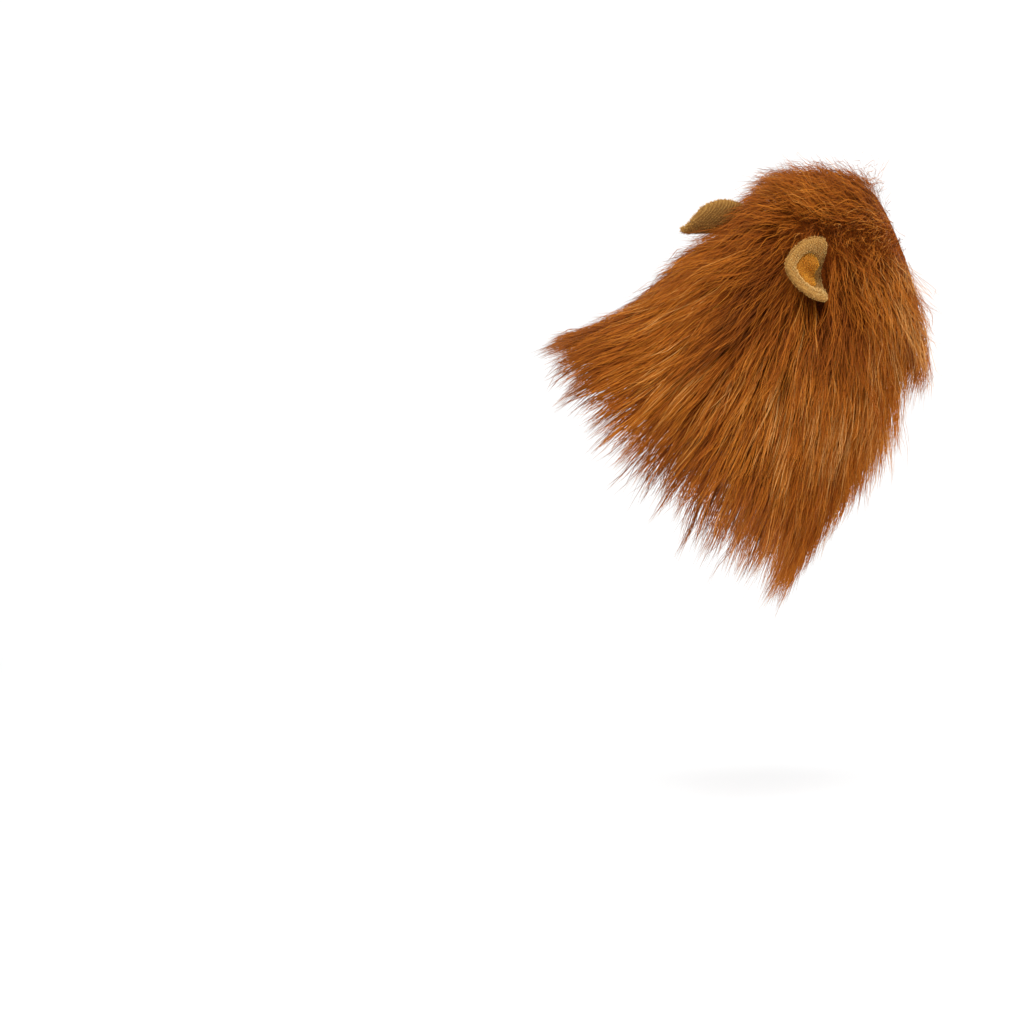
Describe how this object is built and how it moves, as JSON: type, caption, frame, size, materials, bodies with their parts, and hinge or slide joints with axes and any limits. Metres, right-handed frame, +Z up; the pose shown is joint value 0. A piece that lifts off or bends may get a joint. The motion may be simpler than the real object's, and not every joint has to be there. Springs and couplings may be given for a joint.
{
  "type": "pet lion mane wig",
  "caption": "Pull-on lion mane wig for a large pet: a hood of long-pile fur cloth, open at the face and the neck, with padded plush ears.",
  "frame": {"origin": "the point on the hood's inner surface, above and between the ears, where the crown of the head rests", "axes": "+Z up as worn, -Y the way the face opening looks, so the neck opening is towards +Y, and -X the wearer's right"},
  "size_m": [0.3573, 0.4845, 0.531],
  "materials": {
    "backing_cloth": "brown knitted backing of the fur cloth",
    "mane_pile": "long soft rust-red synthetic pile in tapering locks",
    "ear_plush": "short tan plush",
    "ear_lining": "short dark gold plush"
  },
  "bodies": {
    "root": {"hood_backing": "backing_cloth", "mane_fur": "mane_pile", "right_ear_shell": "ear_plush", "right_ear_lining": "ear_lining", "left_ear_shell": "ear_plush", "left_ear_lining": "ear_lining"}
  },
  "joints": []
}
